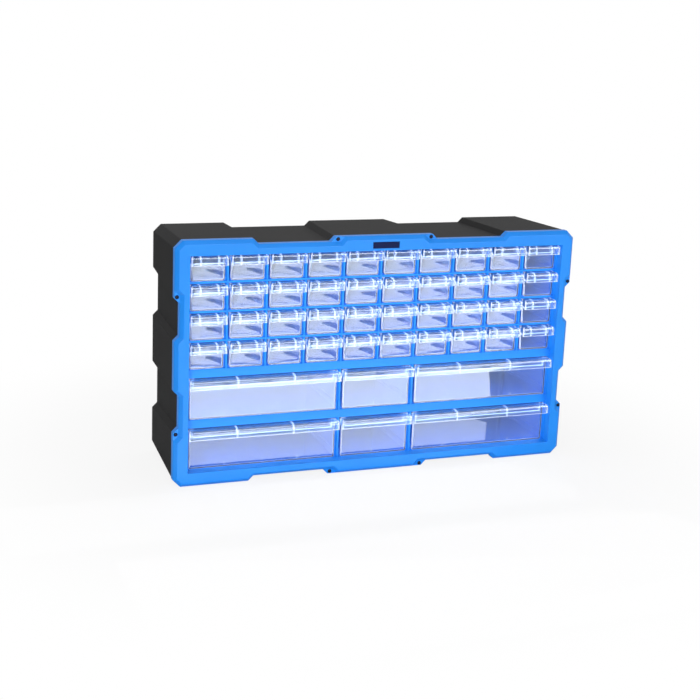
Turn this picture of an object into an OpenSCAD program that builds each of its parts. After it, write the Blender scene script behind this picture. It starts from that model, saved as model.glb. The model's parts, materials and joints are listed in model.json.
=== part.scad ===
// Parts bin cabinet: a bevelled front frame screwed to a lobed rear case, a rack of
// slotted plates inside it, and clear drawers that slide out of the front.
// X runs to the right, Y to the back and Z up. The origin is at the middle of the base.

/* [Cabinet] */
// Width over the lobes of the outline
body_w = 500; // [480:1:540]
// Height over the lobes of the outline
body_h = 289; // [289:1:310]
// Depth from the front face to the back wall
body_d = 137; // [130:1:170]
// How far the recessed stretches of the outline lie inside the lobes
lobe_step = 6; // [3:0.5:8]
// Length cut off each outer corner
corner_cut = 9; // [5:0.5:14]

/* [Lobes] */
// Half length of the middle lobe on the top and the bottom, with its screw ears
mid_lobe = 61; // [56:1:80]
// Half length of the bevelled part of that lobe
mid_bevel = 50; // [40:1:52]
// Inner ends of the outer lobes on the top and the bottom, from the middle
outer_lobe = 159.5; // [130:0.5:180]
// Half length of the middle lobe on the flanks
flank_mid = 29; // [20:1:40]
// Inner ends of the corner lobes on the flanks with their screw ears, from mid height
flank_lobe = 79; // [60:1:80]
// Inner ends of the bevelled part of those lobes
flank_bevel = 88; // [87:1:100]

/* [Front frame] */
// Depth of the bevel round the front face
bevel_d = 5; // [3:0.5:6]
// Width of the bevel, seen from the front
bevel_w = 4.3; // [3:0.1:5]
// Depth of the whole frame moulding
frame_d = 13.5; // [13.5:0.5:18]
// Wall thickness of the frame moulding
frame_skin = 2.4; // [2:0.1:2.6]
// How far the rack lies behind the front face
rack_y = 12.5; // [11.5:0.5:13]
// Width of the plain trim plate let into the top of the frame
trim_w = 33; // [20:1:60]
// Height of the trim plate
trim_h = 7.6; // [5:0.2:8]
// Thickness of the trim plate
trim_t = 0.8; // [0.6:0.1:1.2]

/* [Rear case] */
// Wall thickness of the case moulding
case_skin = 2.6; // [2:0.1:3]
// Gap between the frame's edge and the case's edge all round
case_gap = 0.5; // [0:0.1:1]
// How far the case draws in from the front to the back on each side
case_draft = 4.3; // [2:0.1:6]
// Distance between the two wall-hanging keyholes
keyhole_spacing = 406; // [300:1:406]
// Height of the keyhole heads above the base
keyhole_z = 246; // [200:1:250]
// Radius of a keyhole's head
keyhole_r = 5; // [4:0.5:6]
// Width of a keyhole's slot
keyhole_slot = 4.6; // [3:0.1:5]
// Height of a keyhole's slot above its head
keyhole_rise = 12; // [10:0.5:16]
// Thickness of the case's ribs
rib_t = 3; // [2:0.5:4]

/* [Drawer rack] */
// Columns of small drawers
columns = 10; // [10:10]
// Rows of small drawers
small_rows = 4; // [4:4]
// Rows of large drawers
large_rows = 2; // [2:2]
// Width of the front opening
opening_w = 466.6; // [460:0.2:467]
// Clear height of a small drawer's cell
small_h = 32; // [32:0.5:32]
// Clear height of a large drawer's cell
large_h = 50; // [50:0.5:50]
// Thickness of the rack's plates
plate_t = 2.2; // [1.8:0.1:2.4]
// Height of the deep rails above the large drawers
rail_h = 10; // [8:0.5:10]
// Length of the rack from front to back
rack_d = 116; // [100:1:118]
// Height of the low guide ribs beside each drawer
guide_h = 3.4; // [2.5:0.1:3.5]
// Depth of the webs behind the deep rails
web_d = 8; // [4:0.5:10]

/* [Drawers] */
// Wall thickness of the drawers
wall = 1.3; // [1.2:0.1:1.5]
// Distance from the front face back to a drawer's front wall
front_wall_y = 13; // [12.5:0.1:14]
// Distance from the front face back to the lip of the pull hood
hood_y = 2; // [1:0.5:3]
// Height of the pull hood
hood_h = 11.4; // [10.6:0.2:12]
// Radius of the hood's front edge
hood_r = 4; // [3:0.5:5]
// Radius of the hood's upper corners, seen from the front
hood_corner = 3; // [2:0.5:4]
// How far the ends of the hood reach down beside the front wall
hood_end = 5; // [3:0.5:6]
// Height of the finger pocket at the front wall
pocket_h = 10.2; // [8:0.2:10.4]
// How far the finger pocket reaches back at its top
pocket_d = 12.5; // [9:0.5:16]
// How far the side walls dip below the top behind the pocket
rim_dip = 3; // [1:0.5:5]
// Gap over a drawer and beside its hood
hood_gap = 0.8; // [0.6:0.1:1]
// Gap at each side between a small drawer's body and its cell
small_side = 2.3; // [2:0.1:3]
// Gap at each side between a large drawer's body and its cell
large_side = 3; // [2:0.1:4]
// Radius of the lower edges of a small drawer
small_edge = 3; // [2:0.5:4]
// Radius of the lower edges of a large drawer
large_edge = 2; // [2:0.5:4]
// How far a large drawer's finger pocket ends inside its side walls
large_inset = 5; // [3:0.5:8]
// Running gap between a drawer and what guides it
run_gap = 0.5; // [0.4:0.1:0.6]

/* [Screws] */
// Radius of the screw heads
screw_head_r = 2.3; // [2:0.1:2.6]
// Radius of the screw shanks
screw_r = 1.4; // [1.2:0.1:1.5]
// Length of the screws under the head
screw_l = 16; // [13:1:20]

/* [Hidden] */
$fn = 32;
cut = 0.01;                       // overrun of a cutting tool past the face it opens
over = 1;                         // longer overrun, where nothing else is near
half_w = body_w / 2;
half_h = body_h / 2;
half_open = opening_w / 2;
cell_edge = plate_t / 2;          // a plate reaches this far either side of its line
column_w = 46.7;                  // spacing of the small columns
rack_half = columns * column_w / 2 - cell_edge;
rack_end = rack_y + rack_d;
sleeve_t = 2.2;                   // wall round the front opening
stack_h = small_rows * small_h + (small_rows - 1) * plate_t + large_rows * (rail_h + large_h);
base_z = (body_h - stack_h) / 2;  // floor of the lowest cells
top_z = base_z + stack_h;         // top of the highest cells
slot_gap = 0.1;                   // clearance of the halved joints between plates
lap_y = rack_y + rack_d / 2;      // the halved joints meet here
guide_start = rack_y + 3;         // front ends of the guide ribs
large_spans = [[0, 4], [4, 6], [6, 10]];   // columns covered by each large drawer
large_names = ["left", "middle", "right"];
ear_screw_x = (mid_lobe + mid_bevel + lobe_step) / 2;
ear_screw_z = (flank_lobe + flank_bevel - lobe_step) / 2;
ear_inset = lobe_step / 2;        // screws sit midway across the ears
ear_t = 2.5;                      // thickness of an ear
ear_hole_r = screw_r + 0.3;
boss_r = 3.4;
boss_floor = 1.5;                 // end of a boss beyond its screw hole
boss_l = bevel_d + screw_l + 2 * boss_floor - frame_d;
dome = 1.12;                      // radius of a screw head's dome, in head radii
miter = tan(22.5);                // shift of an outline corner per mm of inset
foot_y = frame_d + 12;            // the levelling ribs start here
foot_x = [mid_lobe / 2, outer_lobe + 15, half_w - 25];
back_in = body_d - case_skin;     // inner face of the case's back wall
drawer_back = back_in - run_gap;  // a closed drawer stops just short of it
pocket_back = front_wall_y + pocket_d;
pocket_lean = atan(pocket_h / pocket_d);
fin_back = front_wall_y + 2;      // rear ends of the fins under the hood
small_fins = [-10.4, 10.4];       // places of the fins, from the middle of the drawer
large_fins = [-34.2, 34.2];
nub_x = 45;                       // nubs on the floor of a large drawer
nub_y = front_wall_y + 7;
nub_r = 0.9;
nub_h = 2;

frame_blue = "dodgerblue";
case_black = "dimgray";
rack_blue = "royalblue";
drawer_clear = [0.8, 0.82, 0.95, 0.55];
steel = "silver";
plate_dark = "black";

small_names = [
    for (r = [1:small_rows], c = [1:columns])
        str("small_drawer_", r, "_", c < 10 ? "0" : "", c)
];
large_drawer_names = [
    for (r = [1:large_rows], n = large_names) str("large_drawer_", r, "_", n)
];

// ---------------------------------------------------------------- outline

// Outline with lobes, seen from the front, about the middle of the front face.
// mid, outer, fmid and fouter are the lobe ends; in draws the whole outline inwards.
function outline(mid, outer, fmid, fouter, in = 0, draft = 0, e = lobe_step) =
    let (
        hw = half_w - in - draft,
        hh = half_h - in - draft,
        c = corner_cut - in * (2 - sqrt(2)),
        m = mid - in * miter,
        o = outer + in * miter,
        fm = fmid - in * miter,
        fo = fouter + in * miter,
        q = [[m, hh], [m + e, hh - e], [o - e, hh - e], [o, hh], [hw - c, hh],
             [hw, hh - c], [hw, fo], [hw - e, fo - e], [hw - e, fm + e], [hw, fm]],
        n = len(q) - 1
    )
    concat(
        q,
        [for (i = [n:-1:0]) [q[i][0], -q[i][1]]],
        [for (i = [0:n]) [-q[i][0], -q[i][1]]],
        [for (i = [n:-1:0]) [-q[i][0], q[i][1]]]
    );

function bevel_outline(in = 0, draft = 0) =
    outline(mid_bevel, outer_lobe, flank_mid, flank_bevel, in, draft);

function ear_outline(in = 0, draft = 0) =
    outline(mid_lobe, outer_lobe, flank_mid, flank_lobe, in, draft);

// Moves what is drawn from the front face at Y = 0 and the base at Z = 0 into place
module in_place() translate([0, -body_d / 2, 0]) children();

// Solid between two outlines at two depths. Each end is a core fanned from its middle,
// with the lobes added to it.
module loft(front, y0, back, y1) {
    n = len(front);
    q = n / 4;
    points = concat(
        [for (p = front) [p[0], y0, p[1] + half_h]],
        [for (p = back) [p[0], y1, p[1] + half_h]],
        [[0, y0, half_h], [0, y1, half_h]]
    );
    core = [for (k = [0:3], i = [1, 2, 7, 8]) k * q + i];
    fan = [for (i = [0:len(core) - 1]) [core[i], core[(i + 1) % len(core)]]];
    lobes = [for (k = [0:3]) each [[for (i = [2:7]) k * q + i],
                                   [for (i = [8:11]) (k * q + i) % n]]];
    polyhedron(points, concat(
        [for (e = fan) [2 * n, e[0], e[1]]],
        [for (e = fan) [2 * n + 1, n + e[1], n + e[0]]],
        lobes,
        [for (l = lobes) [for (i = [len(l) - 1:-1:0]) n + l[i]]],
        [for (i = [0:n - 1]) let (j = (i + 1) % n) [i, n + i, n + j, j]]
    ));
}

// Straight slab of an outline between two depths
module slab(shape, y0, y1)
    translate([0, y1, half_h]) rotate([90, 0, 0]) linear_extrude(y1 - y0) polygon(shape);

// Block given by its edges
module block(x0, x1, y0, y1, z0, z1)
    translate([x0, y0, z0]) cube([x1 - x0, y1 - y0, z1 - z0]);

// Places its children at the eight screw ears
module at_ears() {
    for (sx = [-1, 1], sz = [-1, 1]) {
        translate([sx * ear_screw_x, 0, half_h + sz * (half_h - ear_inset)]) children();
        translate([sx * (half_w - ear_inset), 0, half_h + sz * ear_screw_z]) children();
    }
}

// Rod along Y
module rod(r, y0, y1)
    translate([0, y1, 0]) rotate([90, 0, 0]) cylinder(r = r, h = y1 - y0);

// ---------------------------------------------------------------- front frame

// Clear of the inner sleeve, out to the edge of the sleeve wall
module sleeve_block(y0, y1, grow = 0)
    block(-half_open - grow, half_open + grow, y0, y1, base_z - grow, top_z + grow);

// Place of the trim plate, midway between the opening and the bevel
module trim_block(y0, y1) {
    z = (top_z + body_h - bevel_w) / 2;
    block(-trim_w / 2, trim_w / 2, y0, y1, z - trim_h / 2, z + trim_h / 2);
}

module front_frame() color(frame_blue) in_place() difference() {
    union() {
        loft(bevel_outline(bevel_w), 0, bevel_outline(), bevel_d);
        slab(ear_outline(), bevel_d, frame_d);
    }
    sleeve_block(-over, frame_d + over);
    // channel behind the front face, outside the sleeve round the opening
    difference() {
        union() {
            slab(bevel_outline(bevel_w + frame_skin), frame_skin, frame_d);
            slab(ear_outline(frame_skin), bevel_d + ear_t, frame_d + over);
        }
        sleeve_block(0, rack_y, sleeve_t);
        at_ears() rod(boss_r, bevel_d, frame_d);
    }
    at_ears() rod(ear_hole_r, bevel_d - over, frame_d + over);
    trim_block(-over, trim_t);
}

module trim_plate() color(plate_dark) in_place() trim_block(0, trim_t);

// Pan-head screws through the ears into the case's bosses
module frame_screws() color(steel) in_place() at_ears() {
    intersection() {
        translate([0, bevel_d + screw_head_r / 2, 0]) sphere(r = screw_head_r * dome);
        rod(screw_head_r, bevel_d - screw_head_r, bevel_d);
    }
    rod(screw_r, bevel_d - cut, bevel_d + screw_l);
}

// ---------------------------------------------------------------- rear case

// The case drawn in by that much all round, from its front edge to its back
module case_block(in, y0) loft(ear_outline(case_gap + in), y0, bevel_outline(in, case_draft),
                               body_d - in);

// Ribs that carry the rack on the floor, the sides and the top of the case
module rack_ribs() {
    for (c = [-4:2:4]) block(c * column_w - rib_t / 2, c * column_w + rib_t / 2,
                             frame_d + rib_t, body_d, 0, base_z - plate_t);
    for (y = [rack_y + rack_d / 4, rack_y + rack_d * 3 / 4], s = [-1, 1]) {
        side = rack_half + plate_t;
        block(s > 0 ? side : -half_w, s > 0 ? half_w : -side, y, y + rib_t,
              base_z + rib_t, top_z - rib_t);
    }
    for (c = [-4:4:4]) block(c * column_w - rib_t / 2, c * column_w + rib_t / 2,
                             frame_d + rib_t, body_d, top_z + plate_t, body_h);
}

// Low ribs under the drafted floor that bring the back level with the front
module level_ribs() {
    for (x = foot_x, s = [-1, 1]) translate([s * x - rib_t / 2, 0, 0])
        rotate([90, 0, 90]) linear_extrude(rib_t)
            polygon([[foot_y, 0], [body_d - over, 0], [body_d - over, case_draft + over],
                     [foot_y, case_gap + over]]);
}

module keyhole() {
    y0 = back_in - over;
    y1 = body_d + over;
    rod(keyhole_r, y0, y1);
    block(-keyhole_slot / 2, keyhole_slot / 2, y0, y1, 0, keyhole_rise);
    translate([0, 0, keyhole_rise]) rod(keyhole_slot / 2, y0, y1);
}

module rear_case() color(case_black) in_place() difference() {
    union() {
        difference() {
            case_block(0, frame_d);
            case_block(case_skin, frame_d - cut);
        }
        intersection() {
            case_block(case_skin / 2, frame_d);
            union() {
                rack_ribs();
                at_ears() rod(boss_r, frame_d, frame_d + boss_l);
            }
        }
        level_ribs();
    }
    at_ears() rod(screw_r + slot_gap, frame_d - over, frame_d + boss_l - boss_floor);
    for (s = [-1, 1]) translate([s * keyhole_spacing / 2, 0, keyhole_z]) keyhole();
}

// ---------------------------------------------------------------- drawer rack

// Floor height of small row r and of large row r, counted from the top and from one
function small_floor(r) = top_z - r * small_h - (r - 1) * plate_t;
function large_floor(r) = small_floor(small_rows) - r * (rail_h + large_h);

// Line of the plate to the right of column c
function column_x(c) = (c - columns / 2) * column_w;

small_lines = [for (c = [1:columns - 1]) column_x(c)];
large_lines = [column_x(4), column_x(6)];

// Two low ribs that keep a drawer's body in the middle of its cell
module guides(x0, x1, side, z) {
    t = side - 2 * run_gap;
    for (x = [x0, x1 - t]) block(x, x + t, guide_start, rack_end, z, z + guide_h);
}

module small_guides(z) for (c = [1:columns])
    guides(column_x(c - 1) + cell_edge, column_x(c) - cell_edge, small_side, z);

module large_guides(z) for (s = large_spans)
    guides(column_x(s[0]) + cell_edge, column_x(s[1]) - cell_edge, large_side, z);

// Slots from the back, where the upright plates cross a shelf
module back_slots(lines, z) for (x = lines)
    block(x - cell_edge - slot_gap, x + cell_edge + slot_gap,
          lap_y, rack_end + over, z - plate_t - over, z + guide_h + over);

module shelf_plate(z) block(-rack_half, rack_half, rack_y, rack_end, z - plate_t, z);

module small_shelf(r) color(rack_blue) in_place() difference() {
    union() {
        shelf_plate(small_floor(r));
        small_guides(small_floor(r));
    }
    back_slots(small_lines, small_floor(r));
}

// Deep front rail under a shelf, with webs that stiffen it
module deep_rail(z) {
    block(-rack_half, rack_half, rack_y, rack_y + plate_t, z - rail_h, z);
    for (x = [for (c = [1:2:columns - 1]) column_x(c)])
        block(x - cell_edge, x + cell_edge, rack_y, rack_y + web_d, z - rail_h + over, z - cut);
}

module shelf_4_deep_rail() color(rack_blue) in_place() {
    z = small_floor(small_rows);
    shelf_plate(z);
    small_guides(z);
    deep_rail(z);
}

module shelf_5_deep_rail() color(rack_blue) in_place() difference() {
    z = large_floor(1);
    union() {
        shelf_plate(z);
        large_guides(z);
        deep_rail(z);
    }
    back_slots(large_lines, z);
}

module base_shelf() color(rack_blue) in_place() {
    block(-rack_half - plate_t, rack_half + plate_t, rack_y, rack_end,
          base_z - plate_t, base_z);
    large_guides(base_z);
}

module end_walls() color(rack_blue) in_place() for (s = [-1, 1]) {
    x = s > 0 ? rack_half : -rack_half - plate_t;
    block(x, x + plate_t, rack_y, rack_end, base_z, top_z + plate_t);
}

module upper_partitions() color(rack_blue) in_place() difference() {
    for (x = small_lines) block(x - cell_edge, x + cell_edge, rack_y, rack_end,
                                small_floor(small_rows), top_z + plate_t);
    for (r = [1:small_rows - 1]) block(-half_w, half_w, rack_y - over, lap_y + slot_gap,
                                       small_floor(r) - plate_t - slot_gap,
                                       small_floor(r) + slot_gap);
}

module lower_partitions() color(rack_blue) in_place() difference() {
    ceiling = small_floor(small_rows);
    for (x = large_lines) block(x - cell_edge, x + cell_edge, rack_y, rack_end,
                                base_z, ceiling - plate_t);
    block(-half_w, half_w, rack_y - over, lap_y + slot_gap,
          large_floor(1) - plate_t - slot_gap, large_floor(1) + slot_gap);
    for (z = [ceiling, large_floor(1)]) block(-half_w, half_w, rack_y - over,
        rack_y + plate_t + slot_gap, z - rail_h - slot_gap, z + slot_gap);
}

// ---------------------------------------------------------------- drawers

// Arc of points about a centre
function arc(cy, cz, r, a0, a1, n = 4) =
    [for (i = [0:n]) let (a = a0 + (a1 - a0) * i / n) [cy + r * cos(a), cz + r * sin(a)]];

// Extrudes a side view, given as depth and height, across a width
module across(x0, x1) translate([x0, 0, 0]) rotate([90, 0, 90]) linear_extrude(x1 - x0)
    children();

// Extrudes a front view, given as width and height, along a depth
module along(y0, y1) translate([0, y1, 0]) rotate([90, 0, 0]) linear_extrude(y1 - y0)
    children();

// Front view of a trough with rounded lower edges
module trough(x0, x1, r, z0, z1) polygon(concat(
    [[x0, z1]], arc(x0 + r, z0 + r, r, 180, 270), arc(x1 - r, z0 + r, r, 270, 360), [[x1, z1]]));

// Front view of a hood with rounded upper corners
module arch(x0, x1, r, z0, z1) polygon(concat(
    [[x1, z0]], arc(x1 - r, z1 - r, r, 0, 90), arc(x0 + r, z1 - r, r, 90, 180), [[x0, z0]]));

// Side view of the space in front of the leaning wall of the finger pocket,
// or of that space and the wall, whose thickness is then t
module pocket_view(top, t) {
    knee = top - pocket_h - t / cos(pocket_lean);
    y0 = front_wall_y - over;
    y1 = pocket_back + t / sin(pocket_lean);
    polygon([[y0, knee], [front_wall_y, knee], [y1, top], [y1, top + over], [y0, top + over]]);
}

// Trough of a drawer between x0 and x1, with the finger pocket let into its front
module drawer_body(x0, x1, top, edge, inset) difference() {
    rim = top - rim_dip;
    shoulder = pocket_back + wall / sin(pocket_lean);
    tail = drawer_back - wall;
    intersection() {
        along(front_wall_y, drawer_back) trough(x0, x1, edge, run_gap, top);
        across(x0, x1) polygon([[front_wall_y, 0], [front_wall_y, top], [shoulder, top],
            [shoulder + rim_dip, rim], [tail - rim_dip, rim], [tail, top], [drawer_back, top],
            [drawer_back, 0]]);
    }
    difference() {
        along(front_wall_y + wall, tail)
            trough(x0 + wall, x1 - wall, edge - wall, run_gap + wall, top + over);
        across(x0 + inset - wall, x1 - inset + wall) pocket_view(top, wall);
    }
    across(x0 + inset, x1 - inset) pocket_view(top, 0);
}

// Pull hood between x0 and x1: a top that rounds over into the lip and into the ends
module hood(x0, x1, top) {
    lip = top - hood_h;
    back = pocket_back + wall * tan(pocket_lean / 2) / 2;
    difference() {
        intersection() {
            across(x0, x1) polygon(concat(
                arc(hood_y + hood_r, top - hood_r, hood_r, 90, 180),
                [[hood_y, lip], [hood_y + wall, lip], [front_wall_y, top - hood_end],
                 [front_wall_y, top - wall], [back, top - wall], [back, top]]));
            along(hood_y, back) arch(x0, x1, hood_corner, lip, top);
        }
        intersection() {
            across(x0 + wall, x1 - wall) polygon(concat(
                arc(hood_y + hood_r, top - hood_r, hood_r - wall, 90, 180),
                [[hood_y + wall, lip - over], [front_wall_y + over, lip - over],
                 [front_wall_y + over, top - wall]]));
            along(hood_y, back)
                arch(x0 + wall, x1 - wall, hood_corner - wall, lip - over, top - wall);
        }
    }
}

// Fin that stiffens the hood at x
module fin(x, top) across(x - wall / 2, x + wall / 2) polygon(concat(
    arc(hood_y + hood_r, top - hood_r, hood_r - wall / 2, 90, 180),
    [[hood_y + wall / 2, top - hood_h + wall / 2], [fin_back, top - wall / 2]]));

// One drawer on the floor of a cell: x0 and x1 are the cell's sides
module drawer(x0, x1, z, cell_h, side, edge, inset, fins, nubs) {
    top = cell_h - hood_gap;
    mid = (x0 + x1) / 2;
    translate([0, 0, z]) {
        drawer_body(x0 + side, x1 - side, top, edge, inset);
        hood(x0 + hood_gap, x1 - hood_gap, top);
        // flanges that close the ends of the hood behind
        for (s = [-1, 1]) {
            out = (x1 - x0) / 2 - hood_gap - wall / 2;
            in = (x1 - x0) / 2 - side - wall / 2;
            block(mid + (s > 0 ? in : -out), mid + (s > 0 ? out : -in),
                  front_wall_y - wall, front_wall_y, top - hood_end, top - hood_corner / 2);
        }
        for (x = fins) fin(mid + x, top);
        for (x = nubs) translate([mid + x, nub_y, run_gap + cut])
            cylinder(r = nub_r, h = wall + nub_h);
    }
}

module small_drawer(r, c) color(drawer_clear) in_place()
    drawer(column_x(c - 1) + cell_edge, column_x(c) - cell_edge, small_floor(r),
           small_h, small_side, small_edge, wall, small_fins, []);

module large_drawer(r, i) color(drawer_clear) in_place() {
    span = large_spans[i];
    wide = span[1] - span[0] > 2;
    drawer(column_x(span[0]) + cell_edge, column_x(span[1]) - cell_edge, large_floor(r),
           large_h, large_side, large_edge, large_inset,
           wide ? large_fins : [], wide ? [-nub_x, nub_x] : [0]);
}

// ---------------------------------------------------------------- nodes

front_frame();
rear_case();
trim_plate();
frame_screws();
end_walls();
upper_partitions();
lower_partitions();
small_shelf(1);  // shelf_1
small_shelf(2);  // shelf_2
small_shelf(3);  // shelf_3
shelf_4_deep_rail();
shelf_5_deep_rail();
base_shelf();
for (r = [1:small_rows], c = [1:columns])
    small_drawer(r, c);
for (r = [1:large_rows], i = [0:2])
    large_drawer(r, i);
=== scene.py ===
import json
import math

import bmesh
import bpy
from mathutils import Matrix, Vector
from mathutils.bvhtree import BVHTree


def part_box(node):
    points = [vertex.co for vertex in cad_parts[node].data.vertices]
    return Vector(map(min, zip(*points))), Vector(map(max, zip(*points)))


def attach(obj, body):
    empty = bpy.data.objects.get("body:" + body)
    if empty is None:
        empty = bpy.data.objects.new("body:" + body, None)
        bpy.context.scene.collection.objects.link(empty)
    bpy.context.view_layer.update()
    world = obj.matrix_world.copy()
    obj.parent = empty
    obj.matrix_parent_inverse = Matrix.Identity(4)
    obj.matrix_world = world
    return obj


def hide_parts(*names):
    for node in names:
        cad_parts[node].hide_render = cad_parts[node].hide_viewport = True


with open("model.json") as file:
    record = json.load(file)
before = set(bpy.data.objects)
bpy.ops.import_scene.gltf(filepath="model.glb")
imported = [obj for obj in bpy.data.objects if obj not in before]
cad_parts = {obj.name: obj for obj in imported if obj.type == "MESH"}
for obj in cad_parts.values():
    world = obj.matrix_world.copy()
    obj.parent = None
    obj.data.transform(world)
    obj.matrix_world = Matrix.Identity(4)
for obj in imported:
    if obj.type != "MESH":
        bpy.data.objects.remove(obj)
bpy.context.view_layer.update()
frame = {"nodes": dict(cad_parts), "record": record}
nodes = frame["nodes"]


# ---------------------------------------------------------------- rear case
# The rear case is one deep black tub. It is injection moulded in polypropylene, with draft so
# that it leaves the tool, and the tool is spark-eroded, which leaves a fine matt grain.

case_black = (0.012, 0.012, 0.0125, 1)
case_roughness = 0.6
case_shine = 0.05
case_grain = 0.00012
case_edge = 0.0007
grain_pitch = 0.0005
grain_strength = 0.5
cloud_scale = 14
cloud_span = (0.3, 0.7)
same_point = 1e-6
one_flat_face = math.radians(1)
sharp_corner = math.radians(28)


def placed(name, data):
    """Puts a mesh, a lamp or a camera into the scene."""
    thing = bpy.data.objects.new(name, data)
    bpy.context.collection.objects.link(thing)
    return thing


def finish_shape(piece):
    """Keeps the shape that a piece's modifiers give it as its own mesh."""
    shaped = piece.evaluated_get(bpy.context.evaluated_depsgraph_get())
    mesh = bpy.data.meshes.new_from_object(shaped)
    piece.modifiers.clear()
    piece.data = mesh


def moulded(node, edge, materials, steps=2):
    """A CAD solid with its flat faces joined up and its sharp edges rounded, as if from a tool.

    The last material goes on the rounded edges, and the first one on the rest."""
    mesh = nodes[node].data.copy()
    bm = bmesh.new()
    bm.from_mesh(mesh)
    bmesh.ops.remove_doubles(bm, verts=bm.verts, dist=same_point)
    bmesh.ops.dissolve_limit(bm, angle_limit=one_flat_face, verts=bm.verts, edges=bm.edges)
    bmesh.ops.triangulate(bm, faces=[face for face in bm.faces if len(face.verts) > 4])
    for face in bm.faces:
        face.smooth = True
        face.material_index = 0
    bm.to_mesh(mesh)
    solid = BVHTree.FromBMesh(bm)
    bm.free()
    mesh.materials.clear()
    for material in materials:
        mesh.materials.append(material)

    piece = placed(node + "_moulding", mesh)
    rounding = piece.modifiers.new("rounded edges", "BEVEL")
    rounding.width = edge
    rounding.segments = steps
    rounding.limit_method = "ANGLE"
    rounding.angle_limit = sharp_corner
    rounding.use_clamp_overlap = False
    rounding.loop_slide = False
    rounding.material = len(materials) - 1
    finish_shape(piece)

    # a corner that the rounding threw off the solid goes back onto it
    for vert in piece.data.vertices:
        nearest, _, _, distance = solid.find_nearest(vert.co)
        if distance > edge / 2:
            vert.co = nearest

    flat_faces = piece.modifiers.new("flat faces stay flat", "WEIGHTED_NORMAL")
    flat_faces.mode = "FACE_AREA"
    flat_faces.weight = 100
    flat_faces.keep_sharp = True
    return piece


def stand_in(piece, node):
    """Hangs a finished piece on its body in place of the plain CAD solid."""
    bodies = frame["record"]["behaviour"]["bodies"]
    body = next(name for name, held in bodies.items() if node in held)
    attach(piece, body)
    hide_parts(node)


def new_material(name):
    """A new material, with its node tree and its shader."""
    material = bpy.data.materials.new(name)
    material.use_nodes = True
    tree = material.node_tree
    return material, tree, tree.nodes["Principled BSDF"]


def noise(tree, scale, detail=2):
    """Noise that is fixed to the piece, so that it stays with it in every pose."""
    place = tree.nodes.new("ShaderNodeTexCoord")
    pattern = tree.nodes.new("ShaderNodeTexNoise")
    pattern.inputs["Scale"].default_value = scale
    pattern.inputs["Detail"].default_value = detail
    tree.links.new(place.outputs["Object"], pattern.inputs["Vector"])
    return pattern.outputs["Fac"]


def colour_between(tree, pattern, first, last, span=(0, 1)):
    """A colour that goes from the first to the last as the pattern does."""
    ramp = tree.nodes.new("ShaderNodeValToRGB")
    for stop, position, colour in zip(ramp.color_ramp.elements, span, (first, last)):
        stop.position = position
        stop.color = [*colour, 1]
    tree.links.new(pattern, ramp.inputs["Fac"])
    return ramp.outputs["Color"]


def plastic(name, colour, roughness, grain_height, shine, mottle=0.08):
    """Moulded plastic: a slightly cloudy colour under a fine grain left by the tool."""
    material, tree, shader = new_material(name)
    shader.inputs["Roughness"].default_value = roughness
    shader.inputs["Specular IOR Level"].default_value = shine

    darker = [c * (1 - mottle) for c in colour[:3]]
    lighter = [min(1, c * (1 + mottle)) for c in colour[:3]]
    tint = colour_between(tree, noise(tree, cloud_scale, 3), darker, lighter, cloud_span)
    tree.links.new(tint, shader.inputs["Base Color"])

    bump = tree.nodes.new("ShaderNodeBump")
    bump.inputs["Strength"].default_value = grain_strength
    bump.inputs["Distance"].default_value = grain_height
    tree.links.new(noise(tree, 1 / grain_pitch), bump.inputs["Height"])
    tree.links.new(bump.outputs["Normal"], shader.inputs["Normal"])
    return material


case_plastic = plastic("matt black polypropylene", case_black, case_roughness, case_grain,
                       case_shine)
stand_in(moulded("rear_case", case_edge, [case_plastic]), "rear_case")


# ---------------------------------------------------------------- drawer rack
# The rack is an egg crate of flat blue plates. Each plate is moulded by itself and has slots
# half its depth, and the plates are pushed into each other before the case goes on.

rack_blue = (0.012, 0.236, 0.785, 1)
rack_roughness = 0.4
rack_shine = 0.15
rack_grain = 0.00004
rack_mottle = 0.04
plate_edge = 0.00035

blue_plastic = plastic("bright blue polypropylene", rack_blue, rack_roughness, rack_grain,
                       rack_shine, rack_mottle)
for plate in ("end_walls", "upper_partitions", "lower_partitions", "base_shelf",
              "shelf_1", "shelf_2", "shelf_3", "shelf_4_deep_rail", "shelf_5_deep_rail"):
    stand_in(moulded(plate, plate_edge, [blue_plastic]), plate)


# ---------------------------------------------------------------- guide risers
# The front half of each guide rib on the shelves is taller than the rest, and its ends slope. It
# is moulded with the shelf, and keeps the drawer's side off the plate beside it.

riser_front = -0.0528
riser_back = 0.009
riser_thick = {"small": 0.0012, "large": 0.0019}
riser_height = {"small": 0.0056, "large": 0.009}
front_slope = 0.0015
back_slope = 0.006
riser_edge = 0.0002
rib_top = 0.0034
sunk_in_rib = 0.0004
cell_gap = 0.0008
floor_gap = 0.0005
drawers = [name for name in nodes if "drawer" in name]


def prism(bm, near_outline, far_outline):
    """A solid between two outlines of the same shape."""
    near = [bm.verts.new(corner) for corner in near_outline]
    far = [bm.verts.new(corner) for corner in far_outline]
    bm.faces.new(near)
    bm.faces.new(far[::-1])
    for i in range(len(near)):
        j = (i + 1) % len(near)
        bm.faces.new((near[j], near[i], far[i], far[j]))


def closed_mesh(bm, name):
    """The mesh of what was built, with its faces turned outwards."""
    bmesh.ops.recalc_face_normals(bm, faces=bm.faces)
    mesh = bpy.data.meshes.new(name)
    bm.to_mesh(mesh)
    bm.free()
    return mesh


def riser(bm, x0, x1, floor_level, height):
    """One riser between x0 and x1: its side view is pushed across from one side to the other."""
    foot = floor_level + rib_top - sunk_in_rib
    top = floor_level + height
    side_view = [(riser_front, foot), (riser_front, top - front_slope),
                 (riser_front + front_slope, top), (riser_back - back_slope, top),
                 (riser_back, foot)]
    prism(bm, [(x0, y, z) for y, z in side_view], [(x1, y, z) for y, z in side_view])


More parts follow.
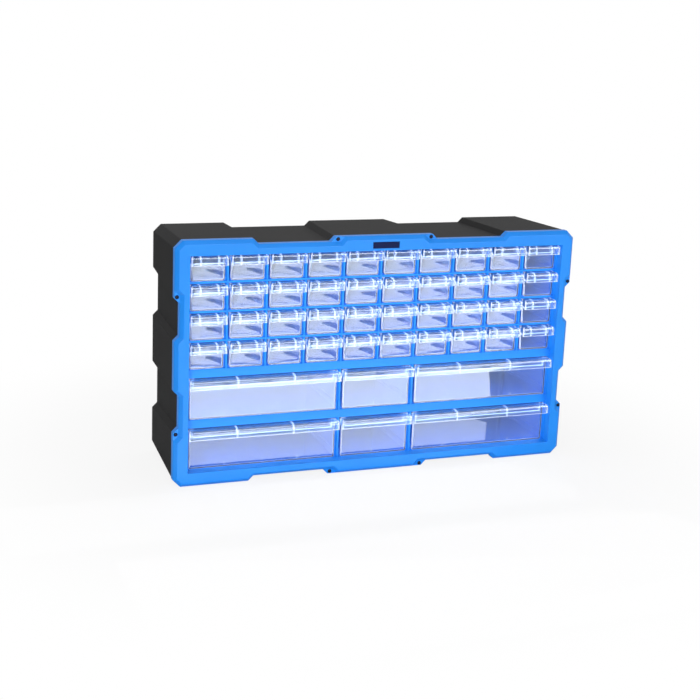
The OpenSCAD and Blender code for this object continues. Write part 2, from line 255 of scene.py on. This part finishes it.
riser_build = bmesh.new()
for drawer in drawers:
    low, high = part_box(drawer)
    kind = drawer.split("_")[0]
    thick, height = riser_thick[kind], riser_height[kind]
    shelf_top = low.z - floor_gap
    left, right = low.x - cell_gap, high.x + cell_gap
    riser(riser_build, left, left + thick, shelf_top, height)
    riser(riser_build, right - thick, right, shelf_top, height)
guide_risers = placed("guide_risers", closed_mesh(riser_build, "guide_risers"))
guide_risers.data.materials.append(blue_plastic)
easing = guide_risers.modifiers.new("eased edges", "BEVEL")
easing.width = riser_edge
easing.segments = 2
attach(guide_risers, "cabinet")


# ---------------------------------------------------------------- front frame
# The front frame is one blue moulding. Its outer edge is bevelled all round, and it is held to
# the case through ears that stand back from the bevel.

frame_edge = 0.0006
frame_steps = 3

front_frame = moulded("front_frame", frame_edge, [blue_plastic], frame_steps)
stand_in(front_frame, "front_frame")


# ---------------------------------------------------------------- trim plate
# The trim plate is a small dark plate of satin plastic, glued into a shallow pocket in the top
# of the frame.

trim_navy = (0.004, 0.010, 0.055, 1)
trim_roughness = 0.4
trim_shine = 0.05
trim_grain = 0.00002
trim_edge = 0.0002

trim_plastic = plastic("dark navy plastic", trim_navy, trim_roughness, trim_grain, trim_shine)
stand_in(moulded("trim_plate", trim_edge, [trim_plastic]), "trim_plate")


# ---------------------------------------------------------------- frame screws
# The eight screws are blackened steel with pan heads, driven through the frame's ears into the
# case. Each head has a cross recess for the driver.

blacking_dark = (0.003, 0.004, 0.010)
blacking_light = (0.018, 0.020, 0.034)
blacking_roughness = (0.3, 0.5)
wear_scale = 2400
head_edge = 0.0001
head_front = -0.06491
recess_depth = 0.0008
punch_stands_out = 0.001
cross_reach = 0.0014
cross_arm = 0.00032
screw_places = ((0.0585, (0.003, 0.286)), (0.247, (0.064, 0.225)))


def number_between(tree, pattern, lowest, highest):
    """A number that goes from the lowest to the highest as the pattern does."""
    span = tree.nodes.new("ShaderNodeMapRange")
    span.inputs["To Min"].default_value = lowest
    span.inputs["To Max"].default_value = highest
    tree.links.new(pattern, span.inputs["Value"])
    return span.outputs["Result"]


steel, steel_tree, steel_shader = new_material("blackened steel")
steel_shader.inputs["Metallic"].default_value = 1
wear = noise(steel_tree, wear_scale)
blacking = colour_between(steel_tree, wear, blacking_dark, blacking_light)
steel_tree.links.new(blacking, steel_shader.inputs["Base Color"])
steel_tree.links.new(number_between(steel_tree, wear, *blacking_roughness),
                     steel_shader.inputs["Roughness"])
screws = moulded("frame_screws", head_edge, [steel])

r, a = cross_reach, cross_arm
cross = [(-a, -r), (a, -r), (a, -a), (r, -a), (r, a), (a, a),
         (a, r), (-a, r), (-a, a), (-r, a), (-r, -a), (-a, -a)]
punch_front = head_front - punch_stands_out
punch_tip = head_front + recess_depth

punch_build = bmesh.new()
for out, heights in screw_places:
    for side in (-1, 1):
        for z in heights:
            prism(punch_build,
                  [(side * out + u, punch_front, z + v) for u, v in cross],
                  [(side * out + u, punch_tip, z + v) for u, v in cross])
punch = placed("cross punch", closed_mesh(punch_build, "cross punch"))
recess = screws.modifiers.new("cross recess", "BOOLEAN")
recess.operation = "DIFFERENCE"
recess.solver = "EXACT"
recess.object = punch
finish_shape(screws)
bpy.data.objects.remove(punch)
stand_in(screws, "frame_screws")


# ---------------------------------------------------------------- drawers
# The drawers are moulded in clear polystyrene with walls a little over a millimetre thick. Each
# has a rounded pull hood over a finger pocket, and slides on the shelf below it.

drawer_edge = 0.0004
polystyrene_ior = 1.59
flow_scale = 45
flow_depth = 0.96
glare_spread = 3
light_through = (0.98, 0.985, 1, 1)
clear_tint = (0.58, 0.74, 0.94)
# pale tint of the rounded edges: painted highlight, standing in for the glints along clear edges
painted_edge_highlight_tint = (0.86, 0.89, 1.0)


def show(tree, finish):
    """Puts a finish on the surface that a material covers."""
    tree.links.new(finish, tree.nodes["Material Output"].inputs["Surface"])


def clear_plastic(name, clearness, tint, glare):
    """Clear plastic with a lilac cast, and a pale haze for what isn't clearness."""
    material, tree, shader = new_material(name)
    shader.inputs["IOR"].default_value = polystyrene_ior
    shader.inputs["Transmission Weight"].default_value = clearness
    flow = noise(tree, flow_scale)
    cast = colour_between(tree, flow, [c * flow_depth for c in tint], tint)
    tree.links.new(cast, shader.inputs["Base Color"])
    polish = number_between(tree, flow, glare, glare * glare_spread)
    tree.links.new(polish, shader.inputs["Roughness"])

    # light from the lamps passes straight through, so the drawers' insides are lit
    light_path = tree.nodes.new("ShaderNodeLightPath")
    see_through = tree.nodes.new("ShaderNodeBsdfTransparent")
    see_through.inputs["Color"].default_value = light_through
    either = tree.nodes.new("ShaderNodeMixShader")
    tree.links.new(light_path.outputs["Is Shadow Ray"], either.inputs["Fac"])
    tree.links.new(shader.outputs["BSDF"], either.inputs[1])
    tree.links.new(see_through.outputs["BSDF"], either.inputs[2])
    show(tree, either.outputs["Shader"])
    return material


clear = clear_plastic("clear polystyrene", 0.965, clear_tint, 0.01)
# the rounded edges get a hazy, pale copy of the plastic: painted highlight for the glints along
# clear edges
painted_edge_highlight = clear_plastic("polystyrene painted with edge highlights", 0.2, painted_edge_highlight_tint, 0.06)
for drawer in drawers:
    stand_in(moulded(drawer, drawer_edge, [clear, painted_edge_highlight]), drawer)


# ---------------------------------------------------------------- camera
# The camera stands in front of the left corner, a little above the cabinet. Its place, turns
# and lens were solved from the corners of the frame, the opening and the case.

camera_at = Vector((-0.587469, -1.507627, 0.568259))
camera_yaw, camera_pitch, camera_roll = -0.3729477, -0.2298411, -0.0430657

view = bpy.data.cameras.new("camera")
view.lens = 69.637
view.shift_x = -0.0207
view.shift_y = -0.0633
camera = placed("camera", view)
camera.matrix_world = (
    Matrix.Translation(camera_at)
    @ Matrix.Rotation(camera_yaw, 4, "Z")
    @ Matrix.Rotation(camera_pitch, 4, "X")
    @ Matrix.Rotation(camera_roll, 4, "Y")
    @ Matrix.Rotation(math.pi / 2, 4, "X")
)
bpy.context.scene.camera = camera


# ---------------------------------------------------------------- studio
# The cabinet stands on a plain white floor under three large soft lights. Lit cards that show
# only in reflections stand in for a bright floor. They are shaped and placed for this camera,
# so from other sides the drawers reflect them in other places.

floor_reach = 30
paper_white = (0.85, 0.85, 0.85, 1)
paper_roughness = 0.9
white = (1, 1, 1, 1)
shade_starts, shade_ends = 0.25, 0.6
glow_near, glow_far = 0.86, 1

floor_mesh = bpy.data.meshes.new("floor")
floor_mesh.from_pydata(
    [(-floor_reach, -floor_reach, 0), (floor_reach, -floor_reach, 0),
     (floor_reach, floor_reach, 0), (-floor_reach, floor_reach, 0)],
    [], [(0, 1, 2, 3)])
floor = placed("floor", floor_mesh)

# the camera sees the paper glow white, less so round the cabinet, where its shadow shows
paper, paper_tree, paper_shader = new_material("white paper")
paper_shader.inputs["Base Color"].default_value = paper_white
paper_shader.inputs["Roughness"].default_value = paper_roughness
glow = paper_tree.nodes.new("ShaderNodeEmission")
glow.inputs["Color"].default_value = white
spot = paper_tree.nodes.new("ShaderNodeNewGeometry")
from_middle = paper_tree.nodes.new("ShaderNodeVectorMath")
from_middle.operation = "LENGTH"
paper_tree.links.new(spot.outputs["Position"], from_middle.inputs[0])
fade = paper_tree.nodes.new("ShaderNodeMapRange")
fade.interpolation_type = "SMOOTHSTEP"
fade.inputs["From Min"].default_value = shade_starts
fade.inputs["From Max"].default_value = shade_ends
fade.inputs["To Min"].default_value = glow_near
fade.inputs["To Max"].default_value = glow_far
paper_tree.links.new(from_middle.outputs["Value"], fade.inputs["Value"])
seen = paper_tree.nodes.new("ShaderNodeLightPath")
glow_share = paper_tree.nodes.new("ShaderNodeMath")
glow_share.operation = "MULTIPLY"
paper_tree.links.new(seen.outputs["Is Camera Ray"], glow_share.inputs[0])
paper_tree.links.new(fade.outputs["Result"], glow_share.inputs[1])
blend = paper_tree.nodes.new("ShaderNodeMixShader")
paper_tree.links.new(glow_share.outputs["Value"], blend.inputs["Fac"])
paper_tree.links.new(paper_shader.outputs["BSDF"], blend.inputs[1])
paper_tree.links.new(glow.outputs["Emission"], blend.inputs[2])
show(paper_tree, blend.outputs["Shader"])
floor_mesh.materials.append(paper)

card_white = (0.97, 0.97, 1, 1)
card_height = 0.002
drawer_front = -0.0555
lower_row_strength = 3.8
upper_row_strength = 6.3
small_drawers_strength = 5.8
high_card_strength = 7


def reflecting_card(name, outlines, strength):
    """A lit card of one or more outlines, which the camera sees only in reflections."""
    corners, faces = [], []
    for outline in outlines:
        faces.append(list(range(len(corners), len(corners) + len(outline))))
        corners.extend(outline)
    mesh = bpy.data.meshes.new(name)
    mesh.from_pydata(corners, [], faces)
    card = placed(name, mesh)
    card.visible_camera = False
    card.visible_diffuse = False
    card.visible_shadow = False
    lit, lit_tree, unused_shader = new_material(name)
    lit_tree.nodes.remove(unused_shader)
    shine = lit_tree.nodes.new("ShaderNodeEmission")
    shine.inputs["Color"].default_value = card_white
    shine.inputs["Strength"].default_value = strength
    show(lit_tree, shine.outputs["Emission"])
    mesh.materials.append(lit)


def on_floor(x, z):
    """Where the camera sees the floor reflected at the point (x, z) of a drawer's front."""
    share = z / (camera_at.z - z)
    return (x + (x - camera_at.x) * share,
            drawer_front + (camera_at.y - drawer_front) * share,
            card_height)


# cards for the large drawers: each leaves the right-hand end of its row unlit
lower_row = [(0.164, -0.08), (0.213, -0.176), (0.20, -0.21), (-0.45, -0.21), (-0.45, -0.08)]
upper_row = [(0.20, -0.25), (0.27, -0.28), (0.335, -0.42), (0.426, -0.5), (-0.35, -0.5),
             (-0.35, -0.25)]
reflecting_card("lower row card", [[(x, y, card_height) for x, y in lower_row]],
                lower_row_strength)
reflecting_card("upper row card", [[(x, y, card_height) for x, y in upper_row]],
                upper_row_strength)

# cards for the small drawers but the last column: each leaves a slanting streak unlit at the
# lower right of its drawer's front, whose corners are (0, 0) and (1, 1) here
lit_part = [(0, -0.03), (0.87, -0.03), (0.87, 0.06), (0.47, 0.37), (0.47, 0.5), (0.76, 0.5),
            (1, 0.26), (1, 1.05), (0, 1.05)]
window_cards = []
for row in range(1, 5):
    for column in range(1, 10):
        low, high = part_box("small_drawer_%d_%02d" % (row, column))
        window_cards.append([on_floor(low.x + u * (high.x - low.x), low.z + v * (high.z - low.z))
                             for u, v in lit_part])
reflecting_card("small drawers cards", window_cards, small_drawers_strength)

# a high card in front lights the rounded tops of the hoods
high_card = [(-2.5, -2.6, 0.9), (2.5, -2.6, 0.9), (2.5, -2.6, 3.5), (-2.5, -2.6, 3.5)]
reflecting_card("high card", [high_card], high_card_strength)


def softbox(name, place, target, width, height, power):
    """A large soft light of that size and power, aimed at a point."""
    lamp = bpy.data.lights.new(name, "AREA")
    lamp.shape = "RECTANGLE"
    lamp.size, lamp.size_y = width, height
    lamp.energy = power
    box = placed(name, lamp)
    box.location = place
    box.rotation_mode = "QUATERNION"
    box.rotation_quaternion = (Vector(target) - Vector(place)).to_track_quat("-Z", "Y")


softbox("key", (-1.1, -2.1, 0.75), (0, 0, 0.15), 1.4, 1.0, 33)
softbox("fill", (1.5, -1.9, 0.6), (0, 0, 0.15), 1.2, 0.9, 15)
softbox("top", (0, 0.3, 1.7), (0, 0, 0), 1.6, 1.0, 6)

# the world lights the cabinet softly, and is white to the camera and in gloss and glass
world_light, world_white = 0.32, 1.0
world = bpy.data.worlds.new("studio")
world.use_nodes = True
world_tree = world.node_tree
sky = world_tree.nodes["Background"]
sky.inputs["Color"].default_value = white
eye = world_tree.nodes.new("ShaderNodeLightPath")
eye_or_gloss = world_tree.nodes.new("ShaderNodeMath")
eye_or_gloss.operation = "MAXIMUM"
world_tree.links.new(eye.outputs["Is Camera Ray"], eye_or_gloss.inputs[0])
world_tree.links.new(eye.outputs["Is Glossy Ray"], eye_or_gloss.inputs[1])
or_glass = world_tree.nodes.new("ShaderNodeMath")
or_glass.operation = "MAXIMUM"
world_tree.links.new(eye_or_gloss.outputs["Value"], or_glass.inputs[0])
world_tree.links.new(eye.outputs["Is Transmission Ray"], or_glass.inputs[1])
world_level = number_between(world_tree, or_glass.outputs["Value"], world_light, world_white)
world_tree.links.new(world_level, sky.inputs["Strength"])
bpy.context.scene.world = world

bpy.context.scene.view_settings.view_transform = "Standard"
bpy.context.scene.cycles.max_bounces = 24
bpy.context.scene.cycles.transmission_bounces = 24
bpy.context.scene.cycles.transparent_max_bounces = 32
